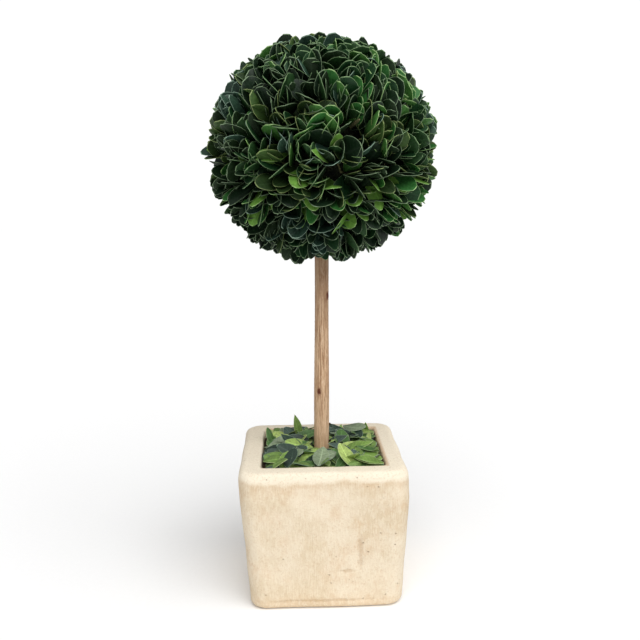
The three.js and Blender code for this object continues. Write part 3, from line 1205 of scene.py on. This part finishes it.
def grow_leaves(kind, dealt, tints, patterns, spread, seed, veins, shine, slot, node):
    """One piece for each tint of one kind of leaf, in place of a mass of leaves."""
    for number, (name, rows) in enumerate(dealt.items()):
        leaves = leaf_points(f"{kind}_leaves_{name}", rows)
        finishes = finishes_for(f"{kind}_{name}", *tints[name][1:], veins, shine)
        chance = {"Spread": spread, "Seed": seed + number}
        grow(leaves, set_leaves, Patterns=patterns, Size=1.0, **chance, **finishes)
        settle(leaves, slot, node)


look = {"veins": 0.3, "shine": 0.2, "slot": "box_leaves", "node": "leaf_ball"}
grow_leaves("box", dealt, BOX_TINTS, box_patterns, spread=0.06, seed=0, **look)

# %% [markdown]
# ## Twigs
# Each sprig is a thin woody twig that forks into its shoots. A line of points from the moss to each
# shoot's tip says where it runs; the tree below sweeps a ring along every line and thins it
# towards the tip. The fibres of the moss are swept by the same tree.


# %% Sweeping tree
def sweeping_tree():
    board, given = new_tree("sweep", Sides=int, Thickness=float, Finish="material")
    line = board.node("GeometryNodeMeshToCurve", {}, {"Mesh": given["Geometry"]})
    ring = board.node(
        "GeometryNodeCurvePrimitiveCircle", {}, {"Resolution": given["Sides"], "Radius": 1.0}
    )
    tube = board.node(
        "GeometryNodeCurveToMesh",
        {},
        {
            "Curve": line,
            "Profile Curve": ring,
            "Scale": named(board, "thick", "FLOAT") * given["Thickness"],
            "Fill Caps": True,
        },
    )
    mesh = board.node("GeometryNodeRealizeInstances", {}, {"Geometry": tube})
    return end_tree(board, surface_material(mesh, given["Finish"]))


sweep = sweeping_tree()
print("sweep:", len(sweep.nodes), "nodes")


def lines_piece(name, lines, radii):
    """A mesh of bare lines, with how thick each point's twig is."""
    points, edges, thick = [], [], []
    for line, radius in zip(lines, radii):
        start = len(points)
        points += list(line)
        thick += list(radius)
        edges += [(start + i, start + i + 1) for i in range(len(line) - 1)]
    piece = new_piece(name, points, edges=edges)
    piece.data.attributes.new("thick", "FLOAT", "POINT").data.foreach_set("value", thick)
    return piece


# %% Twigs of the sprigs
TWIG_ROOT = CORE_RADIUS - 4 * MM
BELOW_TIP, PAST_TIP = 9 * MM, 2 * MM
BEND = 0.6 * MM
TWIG_RADII = np.array([1.0, 0.85, 0.7, 0.62, 0.45, 0.2]) * MM
# One sprig was cut short: its stub shows among the leaves at the front.
STUB_WAY = unit(np.array([0.27, -0.94, 0.21]))
STUB_REACH = np.array([60, 66, 72, 75.5]) * MM
STUB_RADII = np.array([1.3, 1.2, 1.1, 0.5]) * MM

twig_lines = []
for tip, axis, sprig in zip(tip_at, shoot_axis, sprig_of):
    fork = fork_at[sprig]
    foot = BALL + feet[sprig] * TWIG_ROOT * flatten
    below = tip - axis * BELOW_TIP
    middle = (fork + below) / 2 + sprig_rng.normal(0, BEND, 3)
    twig_lines.append([foot, fork, middle, below, tip, tip + axis * PAST_TIP])
twig_radii = [TWIG_RADII] * len(twig_lines) + [STUB_RADII]
twig_lines.append([BALL + STUB_WAY * reach for reach in STUB_REACH])


def twig_finish():
    bark = Finish("twig_bark", Roughness=0.8)
    streak = bark.noise(bark.stretched((500, 500, 500)), 1, 3)
    return bark.done(bark.blend(streak, linear("3a3a24"), linear("7c7a4d")), 0.8, streak, 0.1 * MM)


twigs = lines_piece("sprig_twigs", twig_lines, twig_radii)
grow(twigs, sweep, Sides=5, Thickness=1.0, Finish=twig_finish())
settle(twigs, "box_leaves", "leaf_ball")

# %% [markdown]
# ## Loose leaves in the pot
# The top of the pot is strewn with larger leaves of a longer, pointed kind, upper and under sides
# both showing, some folded along the midrib. They lie like fallen leaves: every one has a chance
# heading and tilt, and is slid until it is inside the pot and clear of the stem.

# %% Litter patterns
LITTER_LENGTH = 22.5 * MM
POINTED, LONG_POINT = (0.74, 0.56), (0.8, 0.9)
litter_patterns = pattern_set(
    "litter_leaf_patterns",
    [
        leaf_pattern("litter_1", LITTER_LENGTH, 11.8 * MM, 0.52, POINTED, -0.20, -20, 0.10, 0.03),
        leaf_pattern("litter_2", LITTER_LENGTH, 11.2 * MM, 0.50, POINTED, 0.10, 24, 0.24, -0.05),
        leaf_pattern("litter_3", LITTER_LENGTH, 12.6 * MM, 0.54, POINTED, -0.24, -30, 0.04, 0.02),
        leaf_pattern("litter_4", LITTER_LENGTH, 8.4 * MM, 0.47, LONG_POINT, 0.16, 24, 0.24, 0.06),
        leaf_pattern("litter_5", LITTER_LENGTH, 11.6 * MM, 0.52, POINTED, -0.14, -12, 0.16, 0.04),
    ],
)

# %% A lying leaf
EDGE_GAP, STEM_GAP = 1.2 * MM, 8.5 * MM
PITCH, PITCH_STRAY, LITTER_ROLL = 0.04, 0.17, 0.3
LITTER_SIZES = (0.78, 1.1)
FLIPPED = 0.4
# The leaves were pushed back from the front edge, so they lean a little towards it.
TO_FRONT = np.array([0, -0.3, 0])
mouth_half = cavity_half(POT_HEIGHT)
mouth_middle = np.array([rim_shift(POT_HEIGHT), 0])


def kept_inside(foot, along, length):
    """Slides a lying leaf until both its ends are in the pot and its midrib misses the stem."""
    for _ in range(4):
        ends = np.array([foot, foot + along * length])[:, :2] - mouth_middle
        shift = np.clip(ends, EDGE_GAP - mouth_half, mouth_half - EDGE_GAP) - ends
        foot = foot + np.r_[shift[np.argmax(np.abs(shift), axis=0), [0, 1]], 0]
        to_stem = np.array([stem_x(foot[2]), 0]) - foot[:2]
        run = along[:2] * length
        gap = run * np.clip(to_stem @ run / (run @ run + 1e-12), 0, 1) - to_stem
        distance = np.linalg.norm(gap)
        if distance < STEM_GAP:
            foot = foot + np.r_[gap / max(distance, 1e-6) * (STEM_GAP - distance), 0]
    return foot


def lying_leaf(middle, rng):
    heading = rng.uniform(0, 2 * math.pi)
    pitch = rng.normal(PITCH, PITCH_STRAY)
    level = math.cos(pitch)
    along = np.array([math.cos(heading) * level, math.sin(heading) * level, math.sin(pitch)])
    upwards = np.cross(unit(np.cross(along, [0, 0, 1])), along)
    facing = rolled(upwards + TO_FRONT, along, rng.normal(0, LITTER_ROLL))
    if rng.random() < FLIPPED:
        facing = -facing
    size = rng.uniform(*LITTER_SIZES)
    length = size * LITTER_LENGTH
    return kept_inside(middle - along * length / 2, along, length), along, facing, size


print("mouth of the pot:", round(2000 * mouth_half, 1), "mm")

# %% [markdown]
# ### Layers of leaves
# Each layer is a grid of cells with one leaf in each, somewhere in its cell. That covers the bed
# evenly and still looks thrown. Three leaves that stand on edge are listed one by one, because a
# rule that strews leaves flat would never raise them.

# %% Strew the leaves
LAYERS, CELLS = 4, 7
IN_CELL = (0.15, 0.85)
LAYER_RISE, LAYER_STRAY = 1.5 * MM, 1.2 * MM
FIRST_LAYER = BED_TOP + 1.5 * MM
STREWN_GAP = 2.5 * MM
# Each tint: its share, the colours of the upper side, the hem (a painted highlight) and the back,
# and its roughness.
LITTER_TINTS = {
    "green": (0.25, "51753e", "a6bb8a", "98b35f", 0.34),
    "grey": (0.27, "4c5f55", "9fae9d", "8b9c7c", 0.30),
    "dark": (0.28, "2e4236", "7f9a80", "6f8c48", 0.30),
    "fresh": (0.20, "7a9a4c", "c3d298", "a9bf6b", 0.36),
}
# A few leaves stand on edge: foot in millimetres, direction, facing, size and pattern.
STANDING = {
    "fresh": [
        ((-16, 25, 98), (-0.4, 0.1, 0.92), (0.6, -0.75, 0.2), 1.0, 3),
        ((37, 36, 96), (-0.1, 0.1, 1.0), (-0.4, -0.9, 0.1), 0.56, 3),
    ],
    "green": [((-38, 12, 97), (-0.15, 0.25, 0.95), (0.8, -0.6, 0.1), 0.7, 0)],
}
litter_rng = np.random.default_rng(16)
litter = {name: [] for name in LITTER_TINTS}
litter_shares = [tint[0] for tint in LITTER_TINTS.values()]
strewn_half = mouth_half - STREWN_GAP
for layer, *cell in np.ndindex(LAYERS, CELLS, CELLS):
    share = (np.array(cell) + litter_rng.uniform(*IN_CELL, 2)) / CELLS
    x, y = (2 * share - 1) * strewn_half
    z = FIRST_LAYER + layer * LAYER_RISE + litter_rng.uniform(0, LAYER_STRAY)
    row = lying_leaf(np.array([x, y, z]), litter_rng)
    name = litter_rng.choice(list(LITTER_TINTS), p=litter_shares)
    litter[name].append((*row, litter_rng.integers(len(litter_patterns.objects))))
for name, rows in STANDING.items():
    for foot, along, facing, size, pattern in rows:
        ways = unit(np.array([along, facing], float))
        litter[name].append((np.array(foot) * MM, *ways, size, pattern))
print("loose leaves:", {name: len(rows) for name, rows in litter.items()})

# %% Grow the litter
look = {"veins": 0.6, "shine": 0.45, "slot": "loose_leaves", "node": "leaf_litter"}
grow_leaves("litter", litter, LITTER_TINTS, litter_patterns, spread=0.05, seed=20, **look)

# %% [markdown]
# ## Loose fibres
# Wisps of dried moss and broken twig lie on the bed and show at the edges, where the leaves leave
# it bare. Each is a short line that wanders at random, swept like the twigs.

# %% Moss fibres
FIBRES, FIBRE_STEPS = 420, 4
FIBRE_RADII = np.array([0.5, 1, 1, 0.8, 0.3]) * MM
# The least and the most: height above the bed and length of a step in millimetres, and thickness.
FIBRE_LIFT, FIBRE_STEP, FIBRE_SHARE = (0.2, 2.2), (1.2, 2.6), (0.2, 0.5)
WANDER, WAVE = 0.5, 0.25
fibre_rng = np.random.default_rng(33)
bed_half = cavity_half(BED_TOP) - 3 * MM
fibre_lines = []
fibre_radii = []
for _ in range(FIBRES):
    heading = fibre_rng.uniform(0, 2 * math.pi)
    x, y = fibre_rng.uniform(-bed_half, bed_half, 2)
    at = np.array([x, y, BED_TOP + fibre_rng.uniform(*FIBRE_LIFT) * MM])
    line = [at]
    for _ in range(FIBRE_STEPS):
        heading += fibre_rng.normal(0, WANDER)
        step = fibre_rng.uniform(*FIBRE_STEP) * MM
        at = at + step * np.array([math.cos(heading), math.sin(heading), fibre_rng.normal(0, WAVE)])
        at[:2] = np.clip(at[:2], -bed_half, bed_half)
        line.append(at)
    fibre_lines.append(line)
    fibre_radii.append(FIBRE_RADII * fibre_rng.uniform(*FIBRE_SHARE))
fibres = lines_piece("moss_fibres", fibre_lines, fibre_radii)
grow(fibres, sweep, Sides=4, Thickness=1.0, Finish=moss_finish("dry_fibre", "2f2418", "8a7658"))
settle(fibres, "planting_moss", "filler")

# %% [markdown]
# ## Snags
# Two short snags are left where side twigs were cut off just above the leaves. Each is a stub with
# a blunt end, swept like the other twigs and dark where the cut has weathered.

# %% Cut twigs on the stem
# Each snag: height, degrees round from +X, and length.
SNAGS = ((104 * MM, -12, 1.6 * MM), (117 * MM, -5, 1.2 * MM))
SNAG_RADII = np.array([1.2, 1.0, 0.7]) * MM
SNAG_START, SNAG_COLLAR = 4.4 * MM, 1.1 * MM
snag_lines = []
for height, towards, length in SNAGS:
    way = np.array([math.cos(math.radians(towards)), math.sin(math.radians(towards)), 0.3])
    start = np.array([stem_x(height), 0, height]) + way * SNAG_START
    snag_lines.append([start, start + way * SNAG_COLLAR, start + way * (SNAG_COLLAR + length)])
snags = lines_piece("stem_snags", snag_lines, [SNAG_RADII] * len(SNAGS))
grow(snags, sweep, Sides=8, Thickness=1.0, Finish=moss_finish("dark_snag", "1d120c", "43301f"))
settle(snags, "peeled_wood", "stem")

# %% [markdown]
# ## Studio
# White paper underfoot, a white room all round, and one very wide sun from above, the front and the
# right. A light as wide as that casts shadows with no edge, so leaves and clay are both judged by
# how softly they turn from light to dark. The room is seen white but lights the plant only dimly.

# %% Floor
FLOOR_HALF = 6.0
FLOOR_DROP = 0.2 * MM
corners = [(-1, -1), (1, -1), (1, 1), (-1, 1)]
floor_points = [(x * FLOOR_HALF, y * FLOOR_HALF, -FLOOR_DROP) for x, y in corners]
floor = new_piece("paper_floor", floor_points, [(0, 1, 2, 3)])
paper = Finish("white_paper", Roughness=0.9, Specular_IOR_Level=0.1)
tooth = paper.noise(paper.place, 300, 2)
floor.data.materials.append(paper.done(paper.blend(tooth, linear("fafafa"), linear("fefefe")), 0.9))
print("floor:", 2 * FLOOR_HALF, "m wide")

# %% Lights
SUN_STRENGTH, SUN_WIDTH = 3.1, math.radians(70)
SUN_TILT, SUN_TURN = math.radians(32), math.radians(12)
ROOM_LIGHT, ROOM_SEEN = 0.25, 0.8
sun = bpy.data.objects.new("sky_panel", bpy.data.lights.new("sky_panel", "SUN"))
sun.data.energy, sun.data.angle = SUN_STRENGTH, SUN_WIDTH
sun.rotation_euler = (SUN_TILT, SUN_TURN, 0)
scene.collection.objects.link(sun)
scene.world = bpy.data.worlds.new("room")
scene.world.use_nodes = True
backdrop = scene.world.node_tree.nodes["Background"]
backdrop.inputs["Color"].default_value = (1, 1, 1, 1)
room = Board(scene.world.node_tree)
seen = room.node("ShaderNodeLightPath")
room.plug(backdrop, "Strength", ROOM_LIGHT + ROOM_SEEN * seen)
scene.view_settings.view_transform = "Standard"
print("lights:", sun.name, "and", scene.world.name)

# %% [markdown]
# ## Clearing up
# The finished plant may stand only slightly proud of the solids' box. The loose patterns have
# done their work and go.

# %% Clear the patterns
for patterns in (box_patterns, litter_patterns):
    for leaf in list(patterns.objects):
        bpy.data.objects.remove(leaf)
    bpy.data.collections.remove(patterns)
